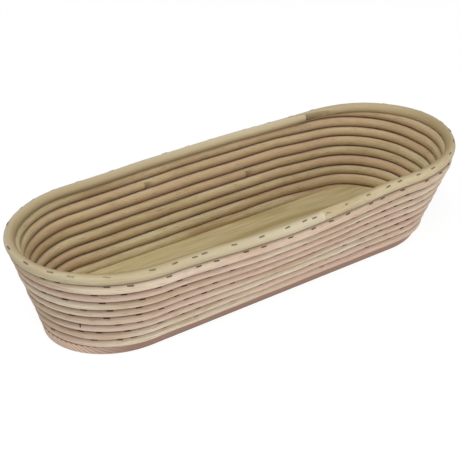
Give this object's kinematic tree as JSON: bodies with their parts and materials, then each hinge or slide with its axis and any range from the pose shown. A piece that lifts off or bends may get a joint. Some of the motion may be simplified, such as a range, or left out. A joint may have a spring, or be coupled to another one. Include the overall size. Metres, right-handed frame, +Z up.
{
  "type": "proofing basket",
  "caption": "Oblong open proofing basket of round cane wound on a rebated wooden board, with a scarfed cane rim and wire staples, for shaping bread dough.",
  "frame": {"origin": "middle of the board's flat underside", "axes": "+X along the basket's length, +Y towards its back side, +Z up out of its mouth"},
  "size_m": [0.3978, 0.1457, 0.0806],
  "materials": {
    "board": "planed softwood, bare",
    "wall_cane": "peeled cane, bare, matte",
    "rim_cane": "peeled cane, bare, satin",
    "staple_wire": "dull drawn wire"
  },
  "bodies": {
    "root": {"base_board": "board", "wall_cane_lower": "wall_cane", "wall_cane_middle": "wall_cane", "wall_cane_upper": "wall_cane", "rim_cane_left": "rim_cane", "rim_cane_right": "rim_cane", "rim_staple_01": "staple_wire", "rim_staple_02": "staple_wire", "rim_staple_03": "staple_wire", "rim_staple_04": "staple_wire", "rim_staple_05": "staple_wire", "rim_staple_06": "staple_wire", "rim_staple_07": "staple_wire", "rim_staple_08": "staple_wire", "rim_staple_09": "staple_wire", "rim_staple_10": "staple_wire", "rim_staple_11": "staple_wire", "rim_staple_12": "staple_wire", "rim_staple_13": "staple_wire", "rim_staple_14": "staple_wire", "rim_staple_15": "staple_wire", "rim_staple_16": "staple_wire", "rim_staple_17": "staple_wire", "rim_staple_18": "staple_wire", "rim_staple_19": "staple_wire", "rim_staple_20": "staple_wire", "rim_staple_21": "staple_wire", "rim_staple_22": "staple_wire", "rim_staple_23": "staple_wire", "rim_staple_24": "staple_wire", "rim_staple_25": "staple_wire", "rim_staple_26": "staple_wire", "rim_staple_27": "staple_wire", "rim_staple_28": "staple_wire", "rim_staple_29": "staple_wire", "rim_staple_30": "staple_wire", "rim_staple_31": "staple_wire", "rim_staple_32": "staple_wire", "rim_staple_33": "staple_wire", "rim_staple_34": "staple_wire", "rim_staple_35": "staple_wire", "rim_staple_36": "staple_wire", "rim_staple_37": "staple_wire", "rim_staple_38": "staple_wire", "rim_staple_39": "staple_wire", "rim_staple_40": "staple_wire", "rim_staple_41": "staple_wire", "rim_staple_42": "staple_wire", "rim_staple_43": "staple_wire", "rim_staple_44": "staple_wire", "rim_staple_45": "staple_wire", "rim_staple_46": "staple_wire", "rim_staple_47": "staple_wire", "foot_staple_01": "staple_wire", "foot_staple_02": "staple_wire", "foot_staple_03": "staple_wire", "foot_staple_04": "staple_wire", "foot_staple_05": "staple_wire", "foot_staple_06": "staple_wire"}
  },
  "joints": []
}
